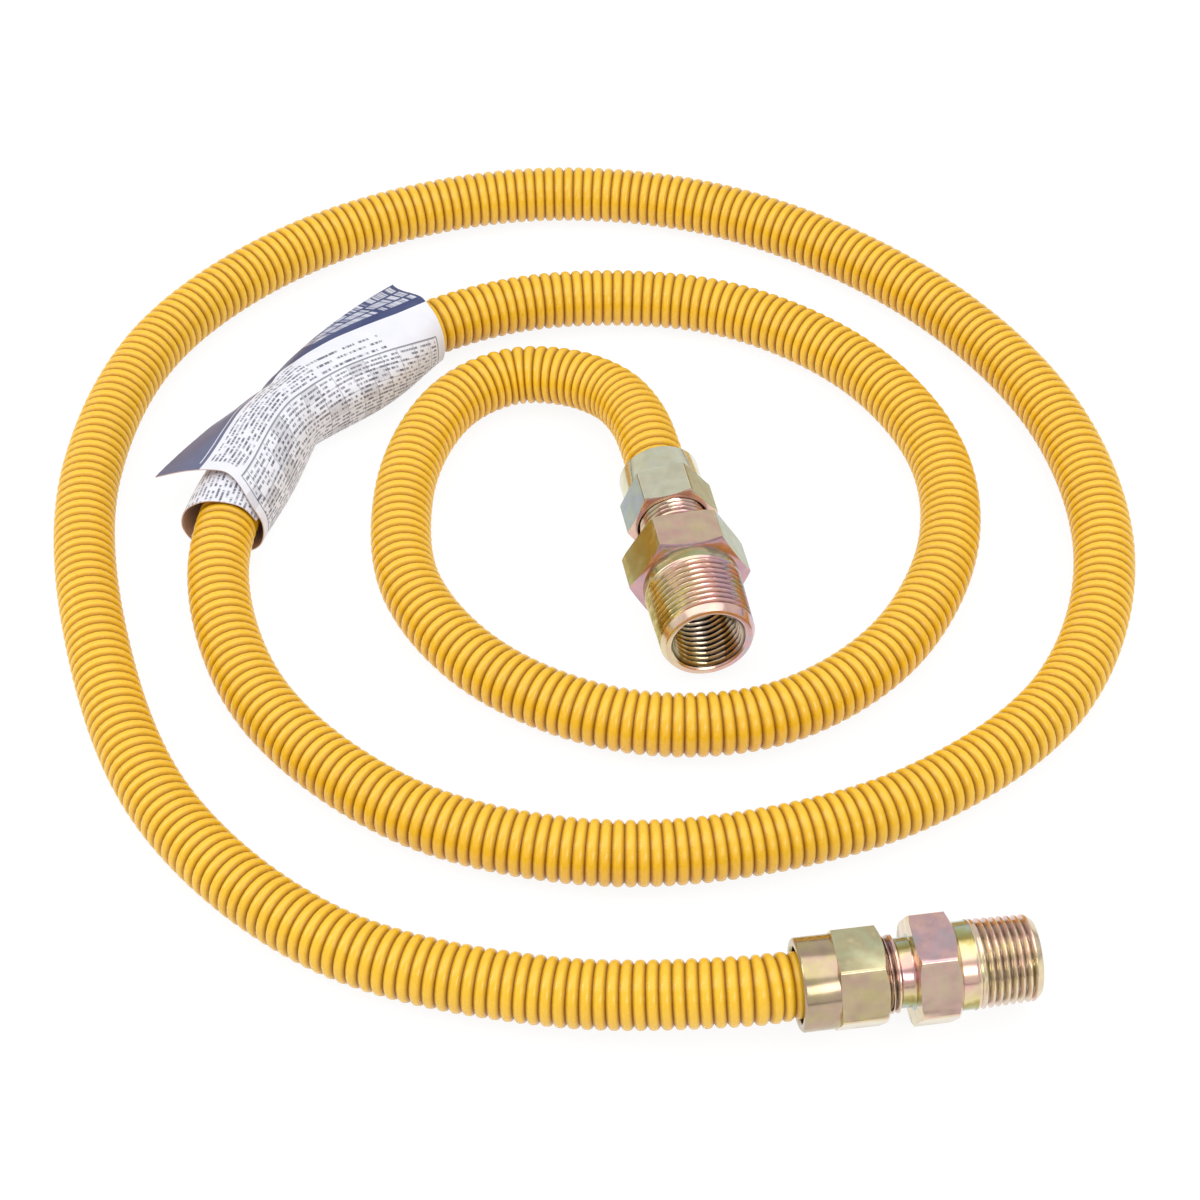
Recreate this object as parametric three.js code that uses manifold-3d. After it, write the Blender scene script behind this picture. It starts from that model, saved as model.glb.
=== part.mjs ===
// Flexible gas hose laid in two loops on a flat surface. A corrugated steel tube in a yellow coat
// has both ends flared; a swivel nut on each flare draws in a threaded adapter. A loose printed
// label is wrapped once round the middle of the hose.
// Millimetres, +Z up, surface at Z = 0, origin under the middle of the whole.
import * as THREE from "three";
import { mergeVertices } from "three/addons/utils/BufferGeometryUtils.js";
import Module from "manifold-3d";

const wasm = await Module();
wasm.setup();

// Clearances and facets
const seatGap = 0.3; // between faces that seat on each other
const threadGap = 0.35; // between a nut's bore and the thread in it
const roundSides = 36;
const hoseSides = 12;
const hoseSteps = 76;

// Hose: envelope over the ridges, coat and corrugated wall
const hoseAcross = 16.8;
const coatWall = 0.45;
const tubeWall = 2.1;
const flareWall = 0.8;
const flareDepth = 2;
const cuffLength = 5.2; // smooth tube between the last ridge and the flare

// Swivel nut, measured from the rim of its collar towards the mouth
const coatInCollar = 4.8;
const collarClearance = 0.4; // round the hose
const collarWall = 2.15;
const collarLength = 8.8;
const collarEdge = 0.5;
const nutHexLength = 11.7;
const nutHexWall = 1.45; // at the middle of a flat
const nutMouthChamfer = 2;
const nutBoreChamfer = 0.6;
const collarLap = 0.2; // by which the collar runs into the hexagon

// Flare side of both adapters
const flareThreadOd = 18.8;
const noseBore = 9.2;
const noseLand = 0.7;
const neckRelief = 1.05;
const neckStep = 0.4; // along the axis, from the thread down to the neck
const hexLap = 0.5; // by which a hexagon and the shank through it run into each other

// Pipe side of the adapters: taper is on the diameter
const pipeTaper = 1 / 16;
const drillSlope = 0.6;

const innerAdapter = {
  threadShown: 5,
  neckLength: 5.8,
  flats: 29.2,
  hexLength: 12.5,
  hexBackChamfer: 1.1,
  hexFrontChamfer: 3,
  landOd: 26.6,
  landLength: 3,
  pipeOd: 26.7,
  pipeThreadLength: 17.7,
  leadLength: 2,
  endOd: 23.5,
  mouthOd: 18.8,
  mouthDepth: 15,
  rimOd: 20.6,
};

const outerAdapter = {
  threadShown: 3,
  neckLength: 3.9,
  flats: 24.8,
  hexLength: 10.6,
  hexBackChamfer: 1.1,
  hexFrontChamfer: 3,
  landOd: 21.2,
  landLength: 4,
  pipeOd: 21.7,
  pipeThreadLength: 14.2,
  leadLength: 1.6,
  endOd: 18.5,
  mouthOd: 14.6,
  mouthDepth: 13,
  rimOd: 16.6,
};

// Where each end lies: the rim of the nut's collar, and the way its mouth points
const innerEnd = { x: 18.99, y: 20.54, azimuth: -79.2, nutTurn: 8, adapter: innerAdapter };
const outerEnd = { x: 48.97, y: -155.42, azimuth: 8.4, nutTurn: 0, adapter: outerAdapter };

// Centre of the hose from the inner end to the outer one
const hosePoints = [
  [13.4, 45, 13.7], [6.4, 58, 12.1], [-6.6, 67.3, 10.4], [-22.6, 69.5, 9.1], [-36.6, 61.8, 8.6], [-46.6, 46, 8.45],
  [-52.6, 19, 8.45], [-48.6, -18, 8.45], [-26.6, -49, 8.45], [9.4, -67, 8.45], [47.4, -65, 8.45], [79.4, -42, 8.45],
  [98.4, -3, 8.45], [98.4, 37, 8.45], [77.4, 76, 8.45], [38.4, 102, 8.45], [-12.6, 105, 8.8], [-48.6, 91, 9.2],
  [-78.6, 64, 9.3], [-96.6, 26, 9.3], [-101.6, -14, 9.2], [-85.6, -61, 8.6], [-47.6, -97, 8.45], [-6.6, -110.5, 8.45],
  [34.4, -109.5, 8.45], [83.4, -93, 8.45], [123.4, -58, 8.45], [141.4, -5, 8.45], [132.4, 57, 8.45], [95.4, 113, 8.45],
  [37.4, 151, 8.45], [-25.6, 157.5, 8.45], [-85.6, 134, 8.45], [-127.6, 88, 8.45], [-141.6, 29, 8.45], [-132.6, -35, 8.45],
  [-106.6, -98, 8.45], [-62.6, -139, 8.45], [-8.6, -155, 9.4],
];

// Label: distance along the hose, sheet thickness, and three sections from its inner lap round
// the hose to its free edge, each as (outward, up) from the centre of the hose. Between the ends
// and the waist the sheet stands off the hose's inner side, because paper stays straight.
const labelStart = 602;
const labelLength = 103;
const labelThickness = 0.4;
const labelWaist = 0.55; // share of the length where the sheet is pinched
const labelBulges = [6.5, 2.5]; // before and after the waist
const bulgeReach = 9; // how far from the middle the whole of the bulge is reached
const labelFarCut = 10; // the free edge is cut back at the far end
const labelFarCutShares = [0.7, 0.86]; // where round the sheet that cut begins and is whole
const labelNearCut = 6; // and less at the near end
const labelNearCutShares = [0.86, 1];
const labelNearSection = [
  [-8.9, 3.2], [-5.3, 7.95], [0.2, 9.3], [5.4, 7.7], [8.9, 3.4], [9.9, -2], [7.8, -6.4], [4.2, -8.7], [0, -8.95],
  [-4.8, -8.6], [-8.5, -5.5], [-10, -0.5], [-9.3, 4.8], [-5.6, 8.8], [-0.8, 10.1], [3.4, 10.5], [6.6, 11.7], [9, 13.7],
];
const labelWaistSection = [
  [-8.9, 3.2], [-5.3, 7.95], [0.2, 9.3], [5.4, 7.7], [8.8, 3.3], [9.3, -2.2], [7.4, -6.8], [3.6, -8.8], [-0.8, -8.95],
  [-5.2, -8.5], [-8.6, -5.6], [-10, -1], [-9.4, 4.4], [-6, 8.5], [-1.6, 10.1], [3, 10.1], [7.6, 7.9], [11.4, 3.2],
];
const labelFarSection = [
  [-8.9, 3.4], [-5.2, 8.1], [1, 9.4], [6.6, 8.4], [11.2, 4.6], [12.6, -1.2], [10.2, -6.4], [5.4, -8.7], [0, -8.95],
  [-5.4, -8.6], [-9.2, -5.6], [-10.6, -0.5], [-9.8, 4.8], [-5.8, 9], [-0.6, 11], [5.6, 11.2], [13.6, 9.2], [23, 5],
];

// Sizes that follow from the above
const coatInner = hoseAcross / 2 - coatWall;
const tubeOuter = coatInner - seatGap;
const tubeBore = tubeOuter - tubeWall;
const cuffRadius = tubeBore + flareWall;
const flareStart = coatInCollar + cuffLength;
const coneShift = seatGap * Math.SQRT2; // along the axis, for a gap square to a 45 degree cone
const flareThreadRadius = flareThreadOd / 2;
const nutLength = collarLength + nutHexLength;
const nutBore = flareThreadRadius + threadGap;
const nutFlats = 2 * (nutBore + nutHexWall);
const hoseCorner = hoseAcross / 2 / Math.cos(Math.PI / hoseSides);
const collarBore = hoseCorner + collarClearance;

function welded(geometry) {
  geometry.deleteAttribute("normal");
  geometry.deleteAttribute("uv");
  const merged = mergeVertices(geometry, 1e-4);
  const kept = [];
  const index = merged.getIndex().array;
  for (let i = 0; i < index.length; i += 3) {
    const [a, b, c] = [index[i], index[i + 1], index[i + 2]];
    if (a !== b && b !== c && c !== a) kept.push(a, b, c);
  }
  merged.setIndex(kept);
  return merged;
}

function toSolid(geometry) {
  const merged = welded(geometry);
  return new wasm.Manifold(new wasm.Mesh({
    numProp: 3,
    vertProperties: new Float32Array(merged.getAttribute("position").array),
    triVerts: new Uint32Array(merged.getIndex().array),
  }));
}

function toGeometry(solid) {
  const mesh = solid.getMesh();
  const geometry = new THREE.BufferGeometry();
  geometry.setAttribute("position", new THREE.BufferAttribute(mesh.vertProperties, 3));
  geometry.setIndex(new THREE.BufferAttribute(mesh.triVerts, 1));
  geometry.computeVertexNormals();
  return geometry;
}

// Profile points are (radius, distance along the axis); the axis becomes +X
function turned(profile) {
  const points = profile.map(([radius, along]) => new THREE.Vector2(radius, along));
  return toSolid(new THREE.LatheGeometry(points, roundSides).rotateZ(-Math.PI / 2));
}

function hexBar(flats, from, to) {
  const corner = flats / 2 / Math.cos(Math.PI / 6);
  const bar = new THREE.CylinderGeometry(corner, corner, to - from, 6, 1, false, Math.PI / 6);
  return toSolid(bar.translate(0, (from + to) / 2, 0).rotateZ(-Math.PI / 2));
}

// Hexagon with its corners turned off at both ends; a chamfer of 0 leaves that end square
function hexHead(flats, from, to, backChamfer, frontChamfer) {
  const corner = flats / 2 / Math.cos(Math.PI / 6) + 0.01;
  const slope = Math.tan(Math.PI / 6);
  const blank = turned([
    [0, from],
    [corner - backChamfer, from],
    [corner, from + backChamfer * slope],
    [corner, to - frontChamfer * slope],
    [corner - frontChamfer, to],
    [0, to],
  ]);
  return hexBar(flats, from, to).intersect(blank);
}

function hoseSection(outerFlat, innerFlat) {
  const corner = (flat, i) => {
    const angle = (i + 0.5) * 2 * Math.PI / hoseSides;
    const radius = flat / Math.cos(Math.PI / hoseSides);
    return new THREE.Vector2(radius * Math.cos(angle), radius * Math.sin(angle));
  };
  const ring = (flat) => Array.from({ length: hoseSides }, (_, i) => corner(flat, i));
  const section = new THREE.Shape(ring(outerFlat));
  section.holes.push(new THREE.Path(ring(innerFlat)));
  return section;
}

function endHeight(end) {
  return end.adapter.flats / 2;
}

function endPoint(end, along) {
  const angle = THREE.MathUtils.degToRad(end.azimuth);
  return new THREE.Vector3(
    end.x + along * Math.cos(angle),
    end.y + along * Math.sin(angle),
    endHeight(end),
  );
}

// Steps are shared out by route point, so that the tight bend gets short ones, and a flat of the
// section always faces down
class HoseRoute extends THREE.CatmullRomCurve3 {
  getUtoTmapping(u, distance) {
    return distance === undefined ? u : super.getUtoTmapping(u, distance);
  }

  computeFrenetFrames(segments) {
    const up = new THREE.Vector3(0, 0, 1);
    const shares = Array.from({ length: segments + 1 }, (_, i) => i / segments);
    const tangents = shares.map((share) => this.getTangent(share));
    const normals = tangents.map((along) => up.clone().projectOnPlane(along).normalize());
    const binormals = tangents.map((along, i) => along.clone().cross(normals[i]));
    return { tangents, normals, binormals };
  }
}

const route = new HoseRoute([
  endPoint(innerEnd, coatInCollar),
  endPoint(innerEnd, -3),
  endPoint(innerEnd, -11),
  ...hosePoints.map(([x, y, z]) => new THREE.Vector3(x, y, z)),
  endPoint(outerEnd, -11),
  endPoint(outerEnd, -3),
  endPoint(outerEnd, coatInCollar),
]);
route.arcLengthDivisions = 2000;

function swept(outerFlat, innerFlat) {
  const section = hoseSection(outerFlat, innerFlat);
  return new THREE.ExtrudeGeometry(section, { steps: hoseSteps, extrudePath: route });
}

// Smooth cuff that runs on from the corrugations and opens into the flare
function flaredEnd(end) {
  const lap = 1.2;
  const outer = cuffRadius + flareDepth;
  const cuff = turned([
    [tubeBore, coatInCollar - lap],
    [cuffRadius, coatInCollar - lap],
    [cuffRadius, flareStart],
    [outer, flareStart + flareDepth],
    [outer - flareWall, flareStart + flareDepth],
    [tubeBore, flareStart],
    [tubeBore, coatInCollar - lap],
  ]);
  const angle = end.azimuth;
  const start = endPoint(end, 0);
  return cuff.rotate([0, 0, angle]).translate([start.x, start.y, start.z]);
}

function steelTube() {
  const body = toSolid(swept(tubeOuter, tubeBore));
  return toGeometry(body.add(flaredEnd(innerEnd)).add(flaredEnd(outerEnd)));
}

function nut() {
  const seatStart = flareStart + seatGap - coneShift;
  const seatEnd = seatStart + nutBore - cuffRadius - seatGap;
  const ledge = coatInCollar + seatGap;
  const collarRadius = collarBore + collarWall;
  const collar = turned([
    [0, 0],
    [collarRadius - collarEdge, 0],
    [collarRadius, collarEdge],
    [collarRadius, collarLength + collarLap],
    [0, collarLength + collarLap],
  ]);
  const bore = turned([
    [0, -1],
    [collarBore, -1],
    [collarBore, ledge],
    [cuffRadius + seatGap, ledge],
    [cuffRadius + seatGap, seatStart],
    [nutBore, seatEnd],
    [nutBore, nutLength - nutBoreChamfer],
    [nutBore + nutBoreChamfer + 1, nutLength + 1],
    [0, nutLength + 1],
  ]);
  const hex = hexHead(nutFlats, collarLength, nutLength, 0, nutMouthChamfer);
  return toGeometry(collar.add(hex).subtract(bore));
}

function adapter(size) {
  const noseTip = noseBore / 2 + noseLand;
  const noseStart = flareStart + noseTip - tubeBore + coneShift;
  const threadStart = noseStart + flareThreadRadius - noseTip;
  const threadEnd = nutLength + size.threadShown;
  const neckEnd = threadEnd + size.neckLength;
  const hexEnd = neckEnd + size.hexLength;
  const landEnd = hexEnd + size.landLength;
  const pipeEnd = landEnd + size.pipeThreadLength;
  const faceEnd = pipeEnd + size.leadLength;
  const pipeTip = size.pipeOd / 2 - size.pipeThreadLength * pipeTaper / 2;
  const mouthFloor = size.mouthOd / 2 - size.mouthDepth * pipeTaper / 2;
  const rimDepth = (size.rimOd - size.mouthOd) / 2;
  const drillLength = (mouthFloor - noseBore / 2) * drillSlope;
  const neckRadius = flareThreadRadius - neckRelief;
  const shank = turned([
    [noseBore / 2, noseStart],
    [noseTip, noseStart],
    [flareThreadRadius, threadStart],
    [flareThreadRadius, threadEnd],
    [neckRadius, threadEnd + neckStep],
    [neckRadius, neckEnd + hexLap],
    [size.landOd / 2, neckEnd + hexLap],
    [size.landOd / 2, landEnd],
    [size.pipeOd / 2, landEnd],
    [pipeTip, pipeEnd],
    [size.endOd / 2, faceEnd],
    [size.rimOd / 2, faceEnd],
    [size.mouthOd / 2, faceEnd - rimDepth],
    [mouthFloor, faceEnd - size.mouthDepth],
    [noseBore / 2, faceEnd - size.mouthDepth - drillLength],
    [noseBore / 2, noseStart],
  ]);
  const hex = hexHead(size.flats, neckEnd, hexEnd, size.hexBackChamfer, size.hexFrontChamfer);
  const core = turned([
    [0, neckEnd - 1],
    [noseBore / 2 + hexLap, neckEnd - 1],
    [noseBore / 2 + hexLap, hexEnd + 1],
    [0, hexEnd + 1],
  ]);
  return toGeometry(shank.add(hex.subtract(core)));
}

function labelCurve(share) {
  const near = share < labelWaist;
  const lowest = near ? labelNearSection : labelWaistSection;
  const highest = near ? labelWaistSection : labelFarSection;
  const part = near ? share / labelWaist : (share - labelWaist) / (1 - labelWaist);
  const bulge = labelBulges[near ? 0 : 1] * Math.sin(Math.PI * part);
  const points = lowest.map(([side, up], i) => {
    const x = THREE.MathUtils.lerp(side, highest[i][0], part);
    const y = THREE.MathUtils.lerp(up, highest[i][1], part);
    return new THREE.Vector2(x - bulge * THREE.MathUtils.smoothstep(-x, 0, bulgeReach), y);
  });
  return new THREE.SplineCurve(points);
}

// A flat block is bent round the hose: x runs round it, y along it and z through the sheet
function label() {
  const sheet = new THREE.BoxGeometry(1, 1, 1, 30, 14, 1);
  const position = sheet.getAttribute("position");
  const up = new THREE.Vector3(0, 0, 1);
  for (let i = 0; i < position.count; i += 1) {
    const round = position.getX(i) + 0.5;
    const share = position.getY(i) + 0.5;
    const curve = labelCurve(share);
    const point = curve.getPoint(round);
    const tangent = curve.getTangent(round);
    const lift = position.getZ(i) * labelThickness;
    const farCut = labelFarCut * THREE.MathUtils.smoothstep(round, ...labelFarCutShares) * share;
    const nearCut = labelNearCut * THREE.MathUtils.smoothstep(round, ...labelNearCutShares) * (1 - share);
    const t = route.getUtoTmapping(0, labelStart + share * labelLength + nearCut - farCut);
    const outward = route.getTangent(t).cross(up).normalize();
    const target = route.getPoint(t)
      .addScaledVector(outward, point.x - tangent.y * lift)
      .addScaledVector(up, point.y + tangent.x * lift);
    position.setXYZ(i, target.x, target.y, target.z);
  }
  return welded(sheet);
}

function piece(name, geometry, material) {
  const mesh = new THREE.Mesh(geometry, material);
  mesh.name = name;
  return mesh;
}

const coatYellow = new THREE.MeshStandardMaterial({ color: 0xf0b020, roughness: 0.35, metalness: 0 });
const tubeSteel = new THREE.MeshStandardMaterial({ color: 0xb9bab6, roughness: 0.35, metalness: 1 });
const plated = new THREE.MeshStandardMaterial({ color: 0xc0a878, roughness: 0.3, metalness: 1 });
const paper = new THREE.MeshStandardMaterial({ color: 0xececf2, roughness: 0.5, metalness: 0 });

function fittings(end, suffix) {
  const group = new THREE.Group();
  const start = endPoint(end, 0);
  group.position.copy(start);
  group.rotation.z = THREE.MathUtils.degToRad(end.azimuth);
  const swivel = piece(`nut_${suffix}`, nut(), plated);
  swivel.rotation.x = THREE.MathUtils.degToRad(end.nutTurn);
  group.add(swivel, piece(`adapter_${suffix}`, adapter(end.adapter), plated));
  return group;
}

const gasHose = new THREE.Group();
gasHose.add(
  piece("steel_tube", steelTube(), tubeSteel),
  piece("yellow_coat", welded(swept(hoseAcross / 2, coatInner)), coatYellow),
  piece("label", label(), paper),
  fittings(innerEnd, "inner"),
  fittings(outerEnd, "outer"),
);

export default gasHose;
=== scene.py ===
import math
import bpy
import bmesh
from mathutils import Matrix, Vector, noise


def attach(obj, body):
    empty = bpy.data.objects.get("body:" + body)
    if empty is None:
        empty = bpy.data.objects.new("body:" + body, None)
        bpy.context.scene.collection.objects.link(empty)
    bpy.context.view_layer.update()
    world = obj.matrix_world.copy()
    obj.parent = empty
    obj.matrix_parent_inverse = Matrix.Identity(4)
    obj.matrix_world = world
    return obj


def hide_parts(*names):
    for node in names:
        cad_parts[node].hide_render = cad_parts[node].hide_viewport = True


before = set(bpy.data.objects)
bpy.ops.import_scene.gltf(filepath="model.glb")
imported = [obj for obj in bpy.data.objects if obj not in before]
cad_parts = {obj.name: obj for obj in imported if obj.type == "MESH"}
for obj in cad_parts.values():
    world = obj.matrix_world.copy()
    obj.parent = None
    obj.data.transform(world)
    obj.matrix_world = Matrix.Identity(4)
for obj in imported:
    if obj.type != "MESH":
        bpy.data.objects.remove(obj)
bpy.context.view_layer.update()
mm = 0.001


# camera

cameraLook = {"place": (0.0026, -0.5608, 0.5480), "tilt": 44.92, "lens": 84.39}


def makeCamera(look):
    data = bpy.data.cameras.new("camera")
    data.lens = look["lens"]
    data.sensor_width = 36
    data.clip_start = 0.01
    data.dof.use_dof = False
    camera = bpy.data.objects.new("camera", data)
    camera.location = look["place"]
    camera.rotation_euler = (math.radians(look["tilt"]), 0, 0)
    bpy.context.scene.collection.objects.link(camera)
    bpy.context.scene.camera = camera


makeCamera(cameraLook)


# where the ends lie, as in the model

innerEnd = {"place": (0.01899, 0.02054, 0.0146), "azimuth": -79.2, "nutTurn": 8}
outerEnd = {"place": (0.04897, -0.15542, 0.0124), "azimuth": 8.4, "nutTurn": 0}

hosePoints = [
    (0.0134, 0.0450, 0.0137), (0.0064, 0.0580, 0.0121), (-0.0066, 0.0673, 0.0104),
    (-0.0226, 0.0695, 0.0091), (-0.0366, 0.0618, 0.0086), (-0.0466, 0.0460, 0.00845),
    (-0.0526, 0.0190, 0.00845), (-0.0486, -0.0180, 0.00845), (-0.0266, -0.0490, 0.00845),
    (0.0094, -0.0670, 0.00845), (0.0474, -0.0650, 0.00845), (0.0794, -0.0420, 0.00845),
    (0.0984, -0.0030, 0.00845), (0.0984, 0.0370, 0.00845), (0.0774, 0.0760, 0.00845),
    (0.0384, 0.1020, 0.00845), (-0.0126, 0.1050, 0.0088), (-0.0486, 0.0910, 0.0092),
    (-0.0786, 0.0640, 0.0093), (-0.0966, 0.0260, 0.0093), (-0.1016, -0.0140, 0.0092),
    (-0.0856, -0.0610, 0.0086), (-0.0476, -0.0970, 0.00845), (-0.0066, -0.1105, 0.00845),
    (0.0344, -0.1095, 0.00845), (0.0834, -0.0930, 0.00845), (0.1234, -0.0580, 0.00845),
    (0.1414, -0.0050, 0.00845), (0.1324, 0.0570, 0.00845), (0.0954, 0.1130, 0.00845),
    (0.0374, 0.1510, 0.00845), (-0.0256, 0.1575, 0.00845), (-0.0856, 0.1340, 0.00845),
    (-0.1276, 0.0880, 0.00845), (-0.1416, 0.0290, 0.00845), (-0.1326, -0.0350, 0.00845),
    (-0.1066, -0.0980, 0.00845), (-0.0626, -0.1390, 0.00845), (-0.0086, -0.1550, 0.0094),
]


def endPoint(end, along):
    angle = math.radians(end["azimuth"])
    return Vector(end["place"]) + along * mm * Vector((math.cos(angle), math.sin(angle), 0))


def segmentPoint(before, start, stop, after, share):
    gaps = [max((b - a).length, 1e-9) ** 0.5 for a, b in ((before, start), (start, stop), (stop, after))]
    first = (start - before) / gaps[0] - (stop - before) / (gaps[0] + gaps[1]) + (stop - start) / gaps[1]
    last = (stop - start) / gaps[1] - (after - start) / (gaps[1] + gaps[2]) + (after - stop) / gaps[2]
    first = first * gaps[1]
    last = last * gaps[1]
    square = -3 * start + 3 * stop - 2 * first - last
    cube = 2 * start - 2 * stop + first + last
    return start + first * share + square * share ** 2 + cube * share ** 3


def smoothLine(points, perSegment):
    line = []
    padded = [2 * points[0] - points[1], *points, 2 * points[-1] - points[-2]]
    for i in range(len(points) - 1):
        for k in range(perSegment):
            line.append(segmentPoint(*padded[i:i + 4], k / perSegment))
    line.append(points[-1].copy())
    return line


def hoseLine():
    ends = [endPoint(innerEnd, u) for u in (4.8, -3, -11)]
    tail = [endPoint(outerEnd, u) for u in (-11, -3, 4.8)]
    return smoothLine(ends + [Vector(p) for p in hosePoints] + tail, 24)


hosePath = hoseLine()
hoseLengths = [0.0]
for a, b in zip(hosePath, hosePath[1:]):
    hoseLengths.append(hoseLengths[-1] + (b - a).length)


def alongHose(distance):
    low, high = 0, len(hosePath) - 1
    while high - low > 1:
        middle = (low + high) // 2
        if hoseLengths[middle] <= distance:
            low = middle
        else:
            high = middle
    share = (distance - hoseLengths[low]) / (hoseLengths[high] - hoseLengths[low])
    point = hosePath[low].lerp(hosePath[high], share)
    back, ahead = hosePath[max(low - 1, 0)], hosePath[min(high + 1, len(hosePath) - 1)]
    return point, (ahead - back).normalized()


# shared helpers

def linkObject(name, data):
    thing = bpy.data.objects.new(name, data)
    bpy.context.scene.collection.objects.link(thing)
    return thing


def meshFrom(shape, name):
    mesh = bpy.data.meshes.new(name)
    shape.to_mesh(mesh)
    shape.free()
    return mesh


def lineObject(name, points):
    mesh = bpy.data.meshes.new(name)
    mesh.from_pydata(points, [(i, i + 1) for i in range(len(points) - 1)], [])
    return linkObject(name, mesh)


def plug(tree, target, value):
    if isinstance(value, bpy.types.NodeSocket):
        tree.links.new(value, target)
    elif value is not None:
        target.default_value = value


def dress(tree, node, inputs):
    for key, value in inputs.items():
        plug(tree, node.inputs[key], value)
    return node


def nodeInto(tree, kind, inputs=None, **settings):
    node = tree.nodes.new(kind)
    for key, value in settings.items():
        setattr(node, key, value)
    return dress(tree, node, inputs or {})


def calc(tree, operation, first, second=None, third=None):
    return nodeInto(tree, "ShaderNodeMath", {0: first, 1: second, 2: third}, operation=operation).outputs[0]


def times(tree, first, *others):
    for other in others:
        first = calc(tree, "MULTIPLY", first, other)
    return first


def mapped(tree, value, low, high, toLow=0.0, toHigh=1.0, mode="LINEAR"):
    inputs = {"Value": value, "From Min": low, "From Max": high, "To Min": toLow, "To Max": toHigh}
    return nodeInto(tree, "ShaderNodeMapRange", inputs, interpolation_type=mode).outputs[0]


def stored(tree, geometry, name, value):
    inputs = {"Geometry": geometry, "Name": name, "Value": value}
    node = nodeInto(tree, "GeometryNodeStoreNamedAttribute", inputs, data_type="FLOAT", domain="POINT")
    return node.outputs[0]


def shapeTree(name, floats, counts):
    tree = bpy.data.node_groups.new(name, "GeometryNodeTree")
    sockets = [("Geometry", "Geometry"), *((label, "Float") for label in floats)]
    sockets += [*((label, "Int") for label in counts), ("Material", "Material")]
    for label, kind in sockets:
        tree.interface.new_socket(label, in_out="INPUT", socket_type="NodeSocket" + kind)
    tree.interface.new_socket("Geometry", in_out="OUTPUT", socket_type="NodeSocketGeometry")
    return tree, nodeInto(tree, "NodeGroupInput").outputs


def finishTree(tree, geometry, material):
    realize = nodeInto(tree, "GeometryNodeRealizeInstances", {0: geometry})
    paint = nodeInto(tree, "GeometryNodeSetMaterial", {"Geometry": realize.outputs[0], "Material": material})
    nodeInto(tree, "NodeGroupOutput", {0: paint.outputs[0]})
    return tree


def runTree(thing, tree, values):
    modifier = thing.modifiers.new(tree.name, "NODES")
    modifier.node_group = tree
    for item in tree.interface.items_tree:
        if item.item_type == "SOCKET" and item.in_out == "INPUT" and item.name in values:
            modifier[item.identifier] = values[item.name]
    graph = bpy.context.evaluated_depsgraph_get()
    shown = thing.evaluated_get(graph)
    mesh = bpy.data.meshes.new_from_object(shown, preserve_all_data_layers=True, depsgraph=graph)
    bpy.data.objects.remove(thing)
    return mesh


# materials

def newMaterial(name):
    material = bpy.data.materials.new(name)
    material.use_nodes = True
    return material, material.node_tree, material.node_tree.nodes["Principled BSDF"]


def rampNode(tree, factor, stops, mode="LINEAR"):
    ramp = nodeInto(tree, "ShaderNodeValToRGB", {0: factor})
    ramp.color_ramp.interpolation = mode
    elements = ramp.color_ramp.elements
    while len(elements) < len(stops):
        elements.new(0.5)
    for element, (place, colour) in zip(elements, stops):
        element.position = place
        element.color = (*colour, 1)
    return ramp.outputs[0]


def objectNoise(tree, scale, detail=3.0, rough=0.5):
    where = nodeInto(tree, "ShaderNodeTexCoord").outputs["Object"]
    inputs = {"Vector": where, "Scale": scale, "Detail": detail, "Roughness": rough}
    return nodeInto(tree, "ShaderNodeTexNoise", inputs).outputs["Fac"]


def bumped(tree, height, strength, distance):
    inputs = {"Strength": strength, "Distance": distance, "Height": height}
    return nodeInto(tree, "ShaderNodeBump", inputs).outputs[0]


def mixColour(tree, factor, first, second, blend="MIX"):
    inputs = {0: factor, 6: first, 7: second}
    return nodeInto(tree, "ShaderNodeMix", inputs, data_type="RGBA", blend_type=blend).outputs[2]


def namedValue(tree, name):
    return nodeInto(tree, "ShaderNodeAttribute", attribute_name=name).outputs["Fac"]


white = (1.0, 1.0, 1.0)
hoseLook = {
    # painted shade: valley and flank are darker yellows that shade the coat into each valley between the
    # ridges
    "valley": (0.27, 0.12, 0.003),
    "flank": (0.64, 0.31, 0.006),
    "crest": (0.90, 0.53, 0.022),
    "heights": (0.05, 0.5, 0.9),  # on the ridge, one for each of the three colours
    "patchScale": 60,
    "patchTone": (0.94, 0.93, 0.9),
    "scuffScale": 900,
    "scuffRough": 0.16,
    "scuffBump": 0.12,
    "roughness": 0.25,
    "shine": (0.6, 0.08),  # added by the ridge's height, and everywhere
    "depth": 0.08,  # share of light that enters the plastic
}


def coatMaterial(look):
    material, tree, shader = newMaterial("yellowCoat")
    ridge = namedValue(tree, "ridge")
    # painted shade: the ridge's height picks darker yellows towards each valley
    colours = (look["valley"], look["flank"], look["crest"])
    base = rampNode(tree, ridge, list(zip(look["heights"], colours)))
    tone = rampNode(tree, objectNoise(tree, look["patchScale"], 4), [(0.3, look["patchTone"]), (0.7, white)])
    scuffs = objectNoise(tree, look["scuffScale"], 5, 0.6)
    dress(tree, shader, {
        "Base Color": mixColour(tree, 1.0, base, tone, "MULTIPLY"),
        "Roughness": calc(tree, "MULTIPLY_ADD", scuffs, look["scuffRough"], look["roughness"] - 0.08),
        "Specular IOR Level": calc(tree, "MULTIPLY_ADD", ridge, *look["shine"]),
        "Subsurface Weight": look["depth"],
        "Subsurface Radius": (1.0, 0.5, 0.1),
        "Subsurface Scale": mm,
        "Normal": bumped(tree, scuffs, look["scuffBump"], 0.4 * mm),
    })
    return material


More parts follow.
